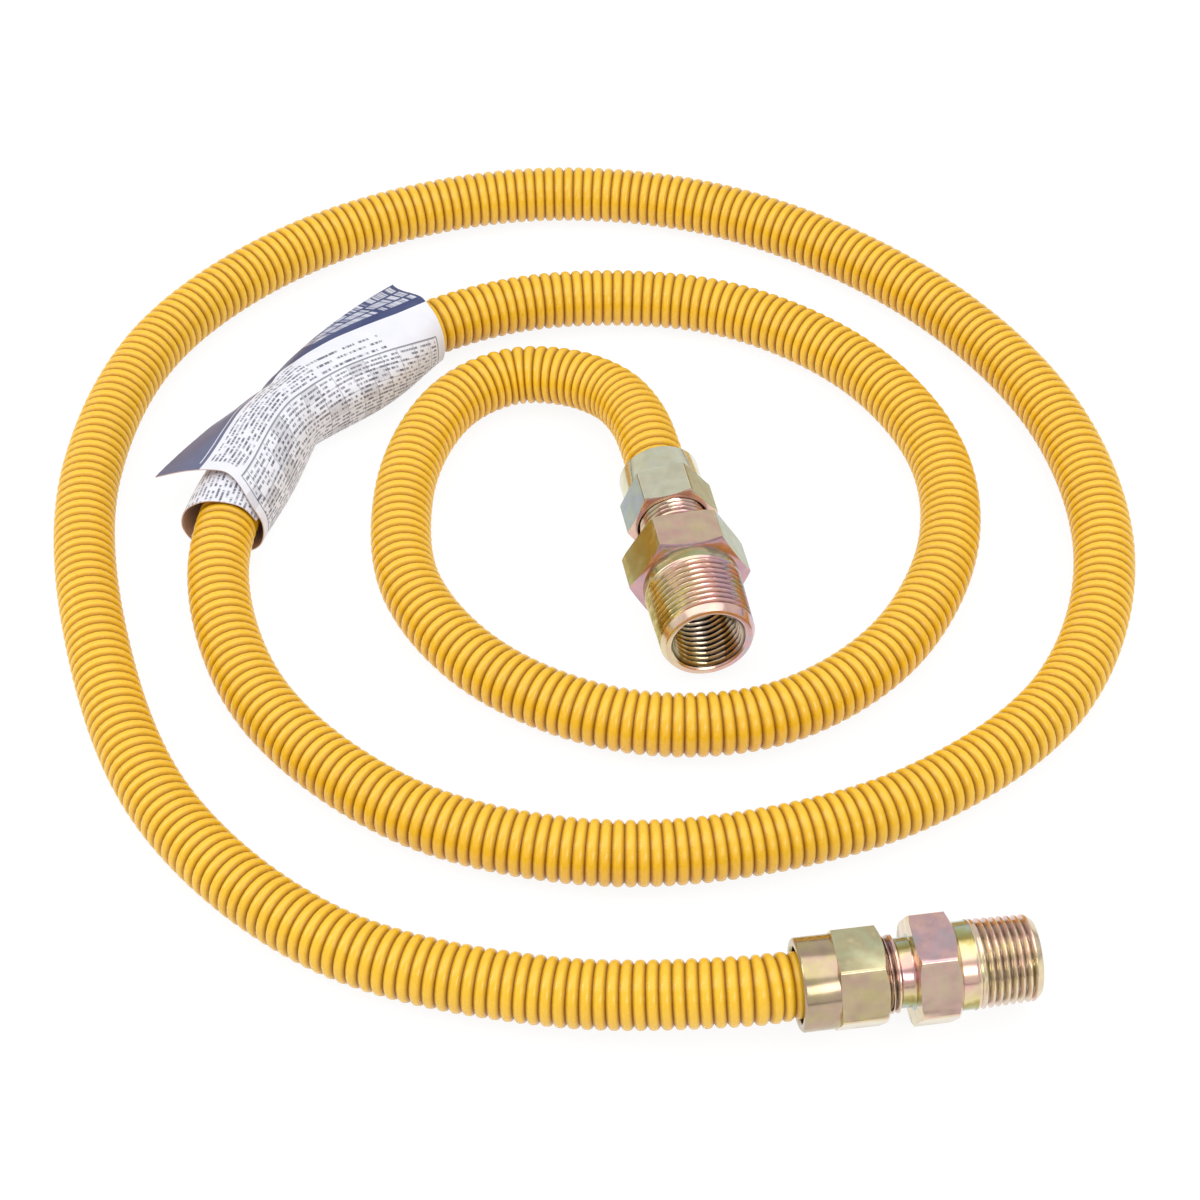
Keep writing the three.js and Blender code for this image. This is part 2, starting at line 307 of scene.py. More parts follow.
plateLook = {
    "stops": [  # thickness of the passivated film, as the tint that it shows
        (0.00, (0.44, 0.35, 0.10)),
        (0.12, (0.80, 0.68, 0.34)),
        (0.25, (0.76, 0.57, 0.40)),
        (0.38, (0.80, 0.49, 0.42)),
        (0.50, (0.66, 0.41, 0.46)),
        (0.62, (0.44, 0.50, 0.53)),
        (0.74, (0.52, 0.58, 0.44)),
        (0.86, (0.46, 0.48, 0.22)),
        (1.00, (0.44, 0.35, 0.10)),
    ],
    "clouds": (75, 0.4, 0.36),  # scale and roughness of the noise, and how far it moves the film
    "spots": (300, 0.5, 0.3),
    # paler colour that parts and sides are mixed towards: painted light, and in part a paler plating tint
    "paleLitMetal": (0.93, 0.90, 0.74),
    # painted shade: the near-black colour that thread recesses and shaded sides are mixed towards
    "groove": (0.012, 0.006, 0.004),
    "worn": (0.88, 0.88, 0.88),
    "wornScale": 240,
    "grainScale": 500,
    "grainBump": 0.04,
    "roughness": 0.17,
    "metallic": 0.92,
}


def plateMaterial(look):
    material, tree, shader = newMaterial("platedSteel")
    drifts = []
    for scale, rough, reach in (look["clouds"], look["spots"]):
        drifts.append(calc(tree, "MULTIPLY_ADD", objectNoise(tree, scale, 2, rough), reach, -reach / 2))
    place = calc(tree, "ADD", namedValue(tree, "film"), calc(tree, "ADD", *drifts))
    colour = rampNode(tree, calc(tree, "FRACT", place), look["stops"])
    # painted light: the pale share lightens a part or side towards the pale metal colour
    colour = mixColour(tree, namedValue(tree, "pale"), colour, (*look["paleLitMetal"], 1))
    worn = rampNode(tree, objectNoise(tree, look["wornScale"]), [(0.3, look["worn"]), (0.6, white)])
    colour = mixColour(tree, 1.0, colour, worn, "MULTIPLY")
    grain = objectNoise(tree, look["grainScale"])
    dress(tree, shader, {
        # painted shade: the groove share darkens thread recesses and shaded sides towards near black
        "Base Color": mixColour(tree, namedValue(tree, "groove"), colour, (*look["groove"], 1)),
        "Metallic": look["metallic"],
        "Roughness": calc(tree, "MULTIPLY_ADD", grain, 0.12, look["roughness"] - 0.04),
        "Normal": bumped(tree, grain, look["grainBump"], 0.2 * mm),
    })
    return material


plainLooks = {  # scale and detail of the grain, dark and light colour, metallic, roughness
    # the bores are dark brown all through, as painted shade inside the nut's mouth and the holes
    "shadedBore": (700, 4, 0.6, (0.10, 0.08, 0.06), (0.22, 0.17, 0.12), 0.6, 0.5),
    "tubeSteel": (800, 4, 0.5, (0.5, 0.5, 0.48), (0.66, 0.66, 0.64), 1.0, 0.35),
    "labelBack": (220, 4, 0.5, (0.616, 0.4576, 0.4048), (0.70, 0.52, 0.46), 0.0, 0.55),
}


def plainMaterial(name):
    scale, detail, rough, dark, light, metallic, roughness = plainLooks[name]
    material, tree, shader = newMaterial(name)
    colour = rampNode(tree, objectNoise(tree, scale, detail, rough), [(0.3, dark), (0.7, light)])
    dress(tree, shader, {"Base Color": colour, "Metallic": metallic, "Roughness": roughness})
    return material


coatYellow = coatMaterial(hoseLook)
platedSteel = plateMaterial(plateLook)
shadedBore = plainMaterial("shadedBore")
tubeSteel = plainMaterial("tubeSteel")
print("materials made")


# hose

hoseSize = {
    "pitch": 3.09,
    "crest": 8.45,
    "valley": 7.3,
    "endCrest": 7.85,
    "endRun": 11.0,
    "perRidge": 6,
    "sides": 24,
    "sharpness": 2.8,
}
ridgeCount = round(hoseLengths[-1] / mm / hoseSize["pitch"])


def ridgeTree():
    floats = ("Ridges", "Crest", "Valley", "Sharpness", "End crest", "End run")
    tree, given = shapeTree("ridges", floats, ("Rings", "Sides"))
    line = nodeInto(tree, "GeometryNodeMeshToCurve", {"Mesh": given["Geometry"]})
    even = nodeInto(tree, "GeometryNodeResampleCurve", {"Curve": line.outputs[0], "Count": given["Rings"]})
    upright = nodeInto(tree, "GeometryNodeSetCurveNormal", {"Curve": even.outputs[0]}, mode="Z_UP")
    place = nodeInto(tree, "GeometryNodeSplineParameter").outputs
    phase = calc(tree, "FRACT", times(tree, place["Factor"], given["Ridges"]))
    away = calc(tree, "ABSOLUTE", calc(tree, "MULTIPLY_ADD", phase, 2.0, -1.0))
    height = calc(tree, "SUBTRACT", 1.0, calc(tree, "POWER", away, given["Sharpness"]))
    whole = nodeInto(tree, "GeometryNodeSplineLength").outputs["Length"]
    near = calc(tree, "MINIMUM", calc(tree, "SUBTRACT", whole, place["Length"]), place["Length"])
    grown = mapped(tree, near, 0.0, given["End run"], mode="SMOOTHSTEP")
    crest = mapped(tree, grown, 0.0, 1.0, given["End crest"], given["Crest"])
    depth = calc(tree, "SUBTRACT", crest, given["Valley"])
    radius = calc(tree, "MULTIPLY_ADD", depth, height, given["Valley"])
    ring = nodeInto(tree, "GeometryNodeCurvePrimitiveCircle", {"Radius": 1.0, "Resolution": given["Sides"]})
    tube = nodeInto(tree, "GeometryNodeCurveToMesh", {
        "Curve": stored(tree, upright.outputs[0], "ridge", height),
        "Profile Curve": ring.outputs[0],
        "Scale": radius,
        "Fill Caps": True,
    })
    return finishTree(tree, tube.outputs[0], given["Material"])


corrugations = ridgeTree()


def corrugatedMesh(size, material):
    values = {
        "Ridges": float(ridgeCount),
        "Rings": ridgeCount * size["perRidge"] + 1,
        "Sides": size["sides"],
        "Crest": size["crest"] * mm,
        "Valley": size["valley"] * mm,
        "Sharpness": size["sharpness"],
        "End crest": size["endCrest"] * mm,
        "End run": size["endRun"] * mm,
        "Material": material,
    }
    return runTree(lineObject("guide", hosePath), corrugations, values)


def makeHose(size):
    mesh = corrugatedMesh(size, coatYellow)
    hose = linkObject("corrugatedHose", mesh)
    mesh.shade_smooth()
    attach(hose, "hose")
    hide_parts("yellow_coat")
    return hose


hose = makeHose(hoseSize)
print("hose made, ridges", ridgeCount, "faces", len(hose.data.polygons), "length", round(hoseLengths[-1], 4))


# fittings: every profile is (distance from the collar's rim, radius) in millimetres

def fittingFrame(end, turn=0.0):
    spin = Matrix.Rotation(math.radians(end["azimuth"]), 4, "Z") @ Matrix.Rotation(math.radians(turn), 4, "X")
    return Matrix.Translation(end["place"]) @ spin


def softened(profile, radius, steps=3):
    out = [profile[0]]
    for before, here, after in zip(profile, profile[1:], profile[2:]):
        a, b, c = (Vector(p) for p in (before, here, after))
        reach = min(radius, (b - a).length * 0.45, (c - b).length * 0.45)
        start, stop = b + (a - b).normalized() * reach, b + (c - b).normalized() * reach
        for k in range(steps + 1):
            t = k / steps
            out.append(tuple(start * (1 - t) ** 2 + b * 2 * t * (1 - t) + stop * t ** 2))
    out.append(profile[-1])
    return out


def turnedMesh(profile, sides, film=0.2):
    shape = bmesh.new()
    layer = shape.verts.layers.float.new("film")
    rings = []
    for u, radius in profile:
        ring = []
        for k in range(sides):
            angle = 2 * math.pi * k / sides
            vertex = shape.verts.new((u * mm, radius * mm * math.cos(angle), radius * mm * math.sin(angle)))
            vertex[layer] = film(u, angle) if callable(film) else film
            ring.append(vertex)
        rings.append(ring)
    for first, second in zip(rings, rings[1:]):
        for k in range(sides):
            n = (k + 1) % sides
            shape.faces.new((first[k], first[n], second[n], second[k]))
    shape.normal_update()
    return meshFrom(shape, "turned")


def solidTurned(profile, sides):
    shape = bmesh.new()
    shape.from_mesh(turnedMesh(profile, sides))
    bmesh.ops.holes_fill(shape, edges=shape.edges)
    bmesh.ops.recalc_face_normals(shape, faces=shape.faces)
    return meshFrom(shape, "solid")


def cornerOf(flats):
    return flats / 2 / math.cos(math.pi / 6)


def hexPrism(flats, start, stop, edge):
    shape = bmesh.new()
    corner = cornerOf(flats) * mm
    ends = []
    for u in (start, stop):
        ring = []
        for k in range(6):
            angle = math.radians(60 * k)
            ring.append(shape.verts.new((u * mm, corner * math.cos(angle), corner * math.sin(angle))))
        ends.append(ring)
    shape.faces.new(ends[0])
    shape.faces.new(ends[1])
    for k in range(6):
        n = (k + 1) % 6
        shape.faces.new((ends[0][k], ends[0][n], ends[1][n], ends[1][k]))
    bmesh.ops.recalc_face_normals(shape, faces=shape.faces)
    long = [e for e in shape.edges if abs(e.verts[0].co.x - e.verts[1].co.x) > 1e-6]
    bmesh.ops.bevel(shape, geom=long, offset=edge * mm, segments=3, profile=0.5, affect="EDGES")
    return meshFrom(shape, "hexPrism")


def cutWith(mesh, other, operation):
    body, tool = linkObject("body", mesh), linkObject("tool", other)
    modifier = body.modifiers.new("cut", "BOOLEAN")
    modifier.operation = operation
    modifier.solver = "EXACT"
    modifier.object = tool
    graph = bpy.context.evaluated_depsgraph_get()
    result = bpy.data.meshes.new_from_object(body.evaluated_get(graph), depsgraph=graph)
    bpy.data.objects.remove(body)
    bpy.data.objects.remove(tool)
    return result


def hexHead(size):
    start, stop = size["start"], size["stop"]
    corner = cornerOf(size["flats"])
    slope = math.tan(math.pi / 6)
    proud = 0.02  # keeps the corners out of the blank's side
    back, front = size["back"], size["front"]
    blank = [
        (start, corner - back),
        (start + back * slope, corner + proud),
        (stop - front * slope, corner + proud),
        (stop, corner - front),
    ]
    prism = hexPrism(size["flats"], start, stop, size["edge"])
    mesh = cutWith(prism, solidTurned(blank, 144), "INTERSECT")
    bore = solidTurned([(start - 1, size["bore"]), (stop + 1, size["bore"])], 72)
    return cutWith(mesh, bore, "DIFFERENCE")


def paintHex(mesh, sides, slope):
    # the first side's normal lies 30 degrees above the fitting's own +Y, and the others follow over the top
    if "film" in mesh.attributes:
        mesh.attributes.remove(mesh.attributes["film"])
    layer = mesh.attributes.new("film", "FLOAT", "CORNER")
    pale = mesh.attributes.new("pale", "FLOAT", "CORNER")
    groove = mesh.attributes.new("groove", "FLOAT", "CORNER")
    for face in mesh.polygons:
        normal = face.normal
        angle = math.degrees(math.atan2(normal.z, normal.y)) % 360
        side = int(((angle - 30) % 360 + 30) // 60) % 6
        sloped = abs(normal.x) > 0.2
        # each side takes its listed film and tone; the tone paints the side lighter or darker, as painted
        # light and shade
        film, tone = slope if sloped else sides[side]
        for corner in face.loop_indices:
            layer.data[corner].value = film
            pale.data[corner].value = max(tone, 0)
            groove.data[corner].value = max(-tone, 0)
    return mesh


def threadTree():
    floats = (
        "Start", "Length", "Radius", "Taper", "Pitch", "Depth", "Run out", "Lead", "Film", "Film drift",
        "Shade", "Shade edge", "Inside",
    )
    tree, given = shapeTree("screwThread", floats, ("Rings", "Around"))
    grid = nodeInto(tree, "GeometryNodeMeshGrid", {
        "Size X": 1.0, "Size Y": 1.0, "Vertices X": given["Rings"], "Vertices Y": given["Around"],
    })
    position = nodeInto(tree, "GeometryNodeInputPosition").outputs[0]
    here = nodeInto(tree, "ShaderNodeSeparateXYZ", {0: position}).outputs
    share = calc(tree, "ADD", here["X"], 0.5)
    turn = calc(tree, "ADD", here["Y"], 0.5)
    along = times(tree, share, given["Length"])
    phase = calc(tree, "FRACT", calc(tree, "SUBTRACT", calc(tree, "DIVIDE", along, given["Pitch"]), turn))
    flank = calc(tree, "ABSOLUTE", calc(tree, "MULTIPLY_ADD", phase, 2.0, -1.0))
    groove = calc(tree, "MULTIPLY_ADD", flank, 1.22, -0.14)  # past nought and one, for flat crests and roots
    shaped = calc(tree, "SMOOTH_MIN", calc(tree, "SMOOTH_MAX", groove, 0.0, 0.12), 1.0, 0.12)
    left = calc(tree, "SUBTRACT", given["Length"], along)
    fadeIn = mapped(tree, along, 0.0, given["Run out"], mode="SMOOTHSTEP")
    fadeOut = mapped(tree, left, 0.0, given["Lead"], mode="SMOOTHSTEP")
    cut = times(tree, shaped, fadeIn, fadeOut)
    outer = calc(tree, "SUBTRACT", given["Radius"], times(tree, along, given["Taper"]))
    radius = calc(tree, "SUBTRACT", outer, times(tree, cut, given["Depth"]))
    angle = times(tree, turn, 2 * math.pi)
    spot = nodeInto(tree, "ShaderNodeCombineXYZ", {
        0: calc(tree, "ADD", along, given["Start"]),
        1: times(tree, radius, calc(tree, "COSINE", angle)),
        2: times(tree, radius, calc(tree, "SINE", angle)),
    })
    sway = times(tree, calc(tree, "COSINE", angle), given["Film drift"])
    tinted = stored(tree, grid.outputs["Mesh"], "film", calc(tree, "ADD", given["Film"], sway))
    # painted shade: the recessed part of each turn is darkened, stored as groove; Inside flips which part is
    # recessed
    hollow = calc(tree, "ABSOLUTE", calc(tree, "SUBTRACT", cut, given["Inside"]))
    shade = times(tree, calc(tree, "POWER", hollow, given["Shade edge"]), given["Shade"])
    shaded = stored(tree, tinted, "groove", shade)
    moved = nodeInto(tree, "GeometryNodeSetPosition", {"Geometry": shaded, "Position": spot.outputs[0]})
    seam = nodeInto(tree, "GeometryNodeMergeByDistance", {"Geometry": moved.outputs[0], "Distance": 1e-6})
    return finishTree(tree, seam.outputs[0], given["Material"])


screwThread = threadTree()
threadDetail = {"perTurn": 10, "around": 97}


def threadMesh(size):
    turns = size["length"] / size["pitch"]
    values = {
        "Start": size["start"] * mm,
        "Length": size["length"] * mm,
        "Radius": size["radius"] * mm,
        "Taper": size["taper"],
        "Pitch": size["pitch"] * mm,
        "Depth": size["depth"] * mm,
        "Run out": size["runOut"] * mm,
        "Lead": size["lead"] * mm,
        "Rings": int(turns * threadDetail["perTurn"]) + 2,
        "Around": threadDetail["around"],
        "Film": size["film"],
        "Film drift": size["drift"],
        "Shade": size["shade"][0],
        "Shade edge": size["shade"][1],
        "Inside": float(size["inside"]),
        "Material": platedSteel,
    }
    mesh = runTree(lineObject("threadGuide", [Vector((0, 0, 0)), Vector((mm, 0, 0))]), screwThread, values)
    if not size["inside"]:
        mesh.flip_normals()
    return mesh


def joined(name, meshes, placed, sharpAngle=32):
    shape = bmesh.new()
    names = ("film", "groove", "pale")
    for layerName in names:
        shape.loops.layers.float.new(layerName)
    for mesh, slot, tone in meshes:
        # a part's tone above nought is painted light (pale share), below nought painted shade (groove share)
        fallback = {"pale": max(tone, 0), "groove": max(-tone, 0)}
        part = bmesh.new()
        part.from_mesh(mesh)
        copies = {v: shape.verts.new(placed @ v.co) for v in part.verts}
        pairs = []
        for face in part.faces:
            made = shape.faces.new([copies[v] for v in face.verts])
            made.material_index = slot
            pairs.extend(zip(made.loops, face.loops))
        for layerName in names:
            target = shape.loops.layers.float[layerName]
            source = part.loops.layers.float.get(layerName)
            vertexSource = part.verts.layers.float.get(layerName)
            for new, old in pairs:
                if source is not None:
                    new[target] = old[source]
                elif vertexSource is not None:
                    new[target] = old.vert[vertexSource]
                else:
                    new[target] = fallback.get(layerName, 0)
        part.free()
    bmesh.ops.remove_doubles(shape, verts=shape.verts, dist=2e-6)
    mesh = meshFrom(shape, name)
    mesh.materials.append(platedSteel)
    mesh.materials.append(shadedBore)
    mesh.shade_smooth()
    mesh.set_sharp_from_angle(angle=math.radians(sharpAngle))
    return linkObject(name, mesh)


turnSides = 96  # facets round a turned part
nutSize = {  # each rim is a chamfer, as its depth along the axis and its height across it
    "collar": 11.25, "collarBore": 9.1, "collarLength": 8.8, "collarDepth": 6.0, "collarRim": (0.45, 0.5),
    "boreRim": (0.5, 0.35), "lap": 0.1, "stop": 20.5, "flats": 22.4, "back": 0.35, "front": 2.0, "edge": 0.4,
    "mouth": 9.75, "mouthDepth": 6.0, "mouthRim": (0.6, 0.36), "hexGap": 0.35, "round": 0.25,
}
boreFilm = 0.3


def makeNut(name, end, node, body, size, look):
    collarEnd = size["collarLength"] + size["lap"]
    boreRim, collarRim, mouthRim = (size[key] for key in ("boreRim", "collarRim", "mouthRim"))
    collar = [
        (size["collarDepth"], size["collarBore"]),
        (boreRim[0], size["collarBore"]),
        (0.0, size["collarBore"] + boreRim[1]),
        (0.0, size["collar"] - collarRim[1]),
        (collarRim[0], size["collar"]),
        (collarEnd, size["collar"]),
        (collarEnd, size["mouth"]),
    ]
    head = hexHead({**size, "start": size["collarLength"], "bore": size["mouth"] + size["hexGap"]})
    lip = [
        (size["stop"] - size["mouthDepth"], size["mouth"]),
        (size["stop"] - mouthRim[0], size["mouth"]),
        (size["stop"], size["mouth"] + mouthRim[1]),
    ]
    film, tone = look["collar"]
    parts = [
        (turnedMesh(softened(collar, size["round"]), turnSides, film), 0, tone),
        (paintHex(head, look["sides"], look["slope"]), 0, 0),
        (turnedMesh(lip, turnSides, boreFilm), 1, 0),
    ]
    nut = joined(name, parts, fittingFrame(end, end["nutTurn"]))
    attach(nut, body)
    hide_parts(node)
    return nut


innerAdapterSize = {
    "shown": 5.0, "neck": 5.8, "flats": 29.2, "hexLength": 12.5, "back": 1.1, "front": 3.0, "edge": 0.45,
    "landRadius": 13.3, "land": 3.0, "pipeRadius": 13.35, "pipeLength": 17.7, "lead": 2.0,
    "endRadius": 11.75, "rimRadius": 10.3, "mouthRadius": 9.9, "mouthDepth": 21.0,
}
outerAdapterSize = {
    "shown": 3.0, "neck": 3.9, "flats": 24.8, "hexLength": 10.6, "back": 1.1, "front": 3.0, "edge": 0.4,
    "landRadius": 10.6, "land": 4.0, "pipeRadius": 10.85, "pipeLength": 14.2, "lead": 1.6,
    "endRadius": 9.25, "rimRadius": 8.3, "mouthRadius": 7.9, "mouthDepth": 13.0,
}
flareThread = {
    "radius": 9.4, "taper": 0.0, "pitch": 1.5875, "depth": 0.85, "runOut": 0.3, "lead": 0.9, "drift": 0.1,
    "shade": (0.8, 1.6), "inside": False,
}
pipeTaper = 1 / 32  # on the radius
maleThread = {
    "taper": pipeTaper, "pitch": 1.814, "depth": 1.15, "runOut": 1.8, "lead": 0.7, "inside": False,
}
femaleThread = {
    "taper": -pipeTaper, "pitch": 1.814, "depth": 1.15, "runOut": 2.0, "lead": 0.6, "inside": True,
    # its shade is painted shade in the recesses, and its tone paints the thread paler, as painted light
    # inside the mouth
    "film": 0.2, "drift": 0.1, "shade": (1.0, 0.75), "tone": 0.25,
}
shankSize = {
    "hiddenThread": 5, "neckRadius": 8.35, "hexBore": 6.0, "rootDepth": 0.47, "waterway": 4.6,
    "drillSlope": 0.6, "waterwayBack": 8,
}


def makeAdapter(name, end, node, body, size, look):
    nutEnd = nutSize["stop"]
    threadEnd = nutEnd + size["shown"]
    neckEnd = threadEnd + size["neck"]
    hexEnd = neckEnd + size["hexLength"]
    landEnd = hexEnd + size["land"]
    pipeEnd = landEnd + size["pipeLength"]
    face = pipeEnd + size["lead"]
    tip = size["pipeRadius"] - size["pipeLength"] * pipeTaper
    hidden, neckRadius, waterway = (shankSize[key] for key in ("hiddenThread", "neckRadius", "waterway"))
    flare = threadMesh({
        **flareThread, "start": nutEnd - hidden, "length": size["shown"] + hidden, "film": look["flare"][0],
    })
    neck = softened([
        (threadEnd, flareThread["radius"]), (threadEnd + 0.45, neckRadius + 0.05),
        (threadEnd + 0.9, neckRadius), (neckEnd - 0.5, neckRadius),
        (neckEnd - 0.1, neckRadius + 0.35), (neckEnd + 0.1, neckRadius + 1.25),
    ], 0.3)
    head = hexHead({**size, "start": neckEnd, "stop": hexEnd, "bore": shankSize["hexBore"]})
    land = softened([
        (hexEnd - 0.2, size["landRadius"]), (landEnd - 0.4, size["landRadius"]),
        (landEnd, size["pipeRadius"] - 0.02),
    ], 0.2)
    male = threadMesh({
        **maleThread, "start": landEnd, "length": size["pipeLength"], "radius": size["pipeRadius"],
        "film": look["pipe"][0], "drift": look["pipeDrift"], "shade": look["pipeShade"],
    })
    nose = softened([
        (pipeEnd, tip), (face - 0.15, size["endRadius"] + 0.1), (face, size["endRadius"] - 0.15),
        (face, size["rimRadius"] + 0.1), (face - 0.5, size["mouthRadius"]),
    ], 0.2)
    root = size["mouthRadius"] - shankSize["rootDepth"]
    floor = face - size["mouthDepth"]
    female = threadMesh({**femaleThread, "start": floor, "length": size["mouthDepth"] - 0.5, "radius": root})
    drill = [
        (floor, root), (floor - (root - waterway) * shankSize["drillSlope"], waterway),
        (neckEnd - shankSize["waterwayBack"], waterway),
    ]
    parts = [
        (flare, 0, look["flare"][1]),
        (turnedMesh(neck, turnSides, look["neck"][0]), 0, look["neck"][1]),
        (paintHex(head, look["sides"], look["slope"]), 0, 0),
        (turnedMesh(land, turnSides, look["land"][0]), 0, look["land"][1]),
        (male, 0, look["pipe"][1]),
        (turnedMesh(nose, turnSides, look["nose"][0]), 0, look["nose"][1]),
        (female, 0, femaleThread["tone"]),
        (turnedMesh(drill, turnSides, boreFilm), 1, 0),
    ]
    adapter = joined(name, parts, fittingFrame(end))
    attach(adapter, body)
    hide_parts(node)
    return adapter


def tintBetween(level, sway, phase=0.0, turns=1):
    # a film that goes round the axis; 90 degrees is on top
    return lambda u, angle: level + sway * math.cos(turns * (angle - math.radians(phase)))


# film and tone of each part: the film is the plating's tint, in places also a painted reflection of the
# yellow hose; the tone is painted light and shade, above nought mixed towards the pale metal colour, below it
# darker;
# seen from the mouth, the six sides go from the right over the top to the left and under
fittingLooks = {
    "innerNut": {
        "collar": (0.84, 0.6), "slope": (0.33, 0.1),
        "sides": [(0.98, -0.2), (0.90, 0.70), (0.70, -0.25), (0.3, 0.3), (0.3, 0.3), (0.1, 0.2)],
    },
    "outerNut": {
        "collar": (0.18, -0.36), "slope": (0.2, 0.0),
        "sides": [(0.3, 0.2), (0.95, 0.33), (0.16, -0.02), (0.2, 0.3), (0.3, 0.2), (0.9, 0.2)],
    },
    "innerAdapter": {
        "flare": (0.36, 0.1), "neck": (0.40, 0.1), "slope": (0.48, -0.1),
        "sides": [(0.84, -0.3), (0.29, 0.05), (0.98, 0.0), (0.3, 0.1), (0.3, 0.1), (0.2, 0.1)],
        "land": (tintBetween(0.85, -0.12), 0.1), "nose": (tintBetween(0.36, 0.14), 0.1),
        "pipe": (0.34, -0.18), "pipeDrift": 0.25, "pipeShade": (0.85, 1.8),
    },
    "outerAdapter": {
        "flare": (0.38, 0.2), "neck": (tintBetween(0.03, 0.42, 130, 2), -0.1), "slope": (0.2, 0.1),
        "sides": [(0.3, 0.2), (0.47, 0.1), (0.33, 0.15), (0.2, 0.2), (0.3, 0.2), (0.7, 0.2)],
        "land": (tintBetween(0.05, 0.38, 138, 2), 0.0), "nose": (0.24, 0.2),
        "pipe": (0.34, 0.25), "pipeDrift": 0.08, "pipeShade": (0.6, 3.0),
    },
}

makeNut("swivelNutInner", innerEnd, "nut_inner", "inner_nut", nutSize, fittingLooks["innerNut"])
outerNut = makeNut("swivelNutOuter", outerEnd, "nut_outer", "outer_nut", nutSize, fittingLooks["outerNut"])
makeAdapter(
    "pipeAdapterInner", innerEnd, "adapter_inner", "inner_adapter",
    innerAdapterSize, fittingLooks["innerAdapter"],
)
outerAdapter = makeAdapter(
    "pipeAdapterOuter", outerEnd, "adapter_outer", "outer_adapter",
    outerAdapterSize, fittingLooks["outerAdapter"],
)
print("fittings made")


# label

labelSize = {
    "start": 602, "length": 104, "thickness": 0.3, "waist": 0.55, "bulge": (6.5, 2.5), "bulgeReach": 9,
    "farCut": 10, "farShares": (0.7, 0.86), "nearCut": 6, "nearShares": (0.86, 1), "around": 130, "along": 90,
    "crease": 0.45, "creaseReach": 0.14, "creaseShares": (0.66, 0.76),
}
labelSections = [  # near end, waist and far end, each from the inner lap round to the free edge
    [
        (-8.9, 3.2), (-5.3, 7.95), (0.2, 9.3), (5.4, 7.7), (8.9, 3.4), (9.9, -2), (7.8, -6.4), (4.2, -8.7),
        (0, -8.95), (-4.8, -8.6), (-8.5, -5.5), (-10, -0.5), (-9.3, 4.8), (-5.6, 8.8), (-0.8, 10.1),
        (3.4, 10.5), (6.6, 11.7), (9, 13.7),
    ],
    [
        (-8.9, 3.2), (-5.3, 7.95), (0.2, 9.3), (5.4, 7.7), (8.8, 3.3), (9.3, -2.2), (7.4, -6.8), (3.6, -8.8),
        (-0.8, -8.95), (-5.2, -8.5), (-8.6, -5.6), (-10, -1), (-9.4, 4.4), (-6, 8.5), (-1.6, 10.1),
        (3, 10.1), (7.6, 7.9), (11.4, 3.2),
    ],
    [
        (-8.9, 3.4), (-5.2, 8.1), (1, 9.4), (6.6, 8.4), (11.2, 4.6), (12.6, -1.2), (10.2, -6.4), (5.4, -8.7),
        (0, -8.95), (-5.4, -8.6), (-9.2, -5.6), (-10.6, -0.5), (-9.8, 4.8), (-5.8, 9), (-0.6, 11),
        (5.6, 11.2), (13.6, 9.2), (23, 5),
    ],
]
labelPrint = {
    "paper": (0.80, 0.80, 0.86),
    "ink": (0.05, 0.05, 0.09),
    "navy": (0.016, 0.03, 0.12),
    # painted sheen: the navy turns lighter and greyer towards the far end
    "sheenNavy": (0.10, 0.11, 0.20),
    "glare": (0.20, 0.21, 0.33),
    "cell": (0.36, 0.34, 0.36),
    "border": (9.5, 6.0, 14.5),  # width of the dark border at the near end, the waist and the far end
    "sheenSpan": (45, 75),
    "table": (12.0, 34),
    "rowPitch": 3.9,
    "columnPitch": 6.5,
    "texts": [  # area across and along, row pitch and stroke width, word length, share
        ((1.4, 11.2, 50, 100), (1.25, 0.66), 2.4, 0.5),
        ((3.6, 11.2, 22, 50), (2.5, 0.85), 2.6, 0.46),
        ((12.5, 34, 4, 101), (1.3, 0.66), 2.0, 0.4),
        ((50, 90, 60, 104), (1.4, 0.66), 2.0, 0.42),
    ],
    "blocks": ((-15, -3.0, 1, 36), (2.3, 1.8), 1.5, 0.48),
}


def eased(low, high, value):
    t = min(max((value - low) / (high - low), 0), 1)
    return t * t * (3 - 2 * t)


def labelSection(size, share):
    waist = size["waist"]
    first = 0 if share < waist else 1
    part = share / waist if share < waist else (share - waist) / (1 - waist)
    bulge = size["bulge"][first] * math.sin(math.pi * part)
    section = []
    for a, b in zip(labelSections[first], labelSections[first + 1]):
        spot = Vector(a).lerp(Vector(b), part)
        spot.x -= bulge * eased(0, size["bulgeReach"], -spot.x)
        section.append(spot)
    return section


def sectionPoint(points, share):
    place = share * (len(points) - 1)
    i = min(int(place), len(points) - 2)
    t = place - i
    p = [points[max(min(i + k, len(points) - 1), 0)] for k in (-1, 0, 1, 2)]
    slopes = ((p[2] - p[0]) / 2, (p[3] - p[1]) / 2)
    spot = p[1] + slopes[0] * t + (-3 * p[1] + 3 * p[2] - 2 * slopes[0] - slopes[1]) * t ** 2
    spot += (2 * p[1] - 2 * p[2] + slopes[0] + slopes[1]) * t ** 3
    return spot


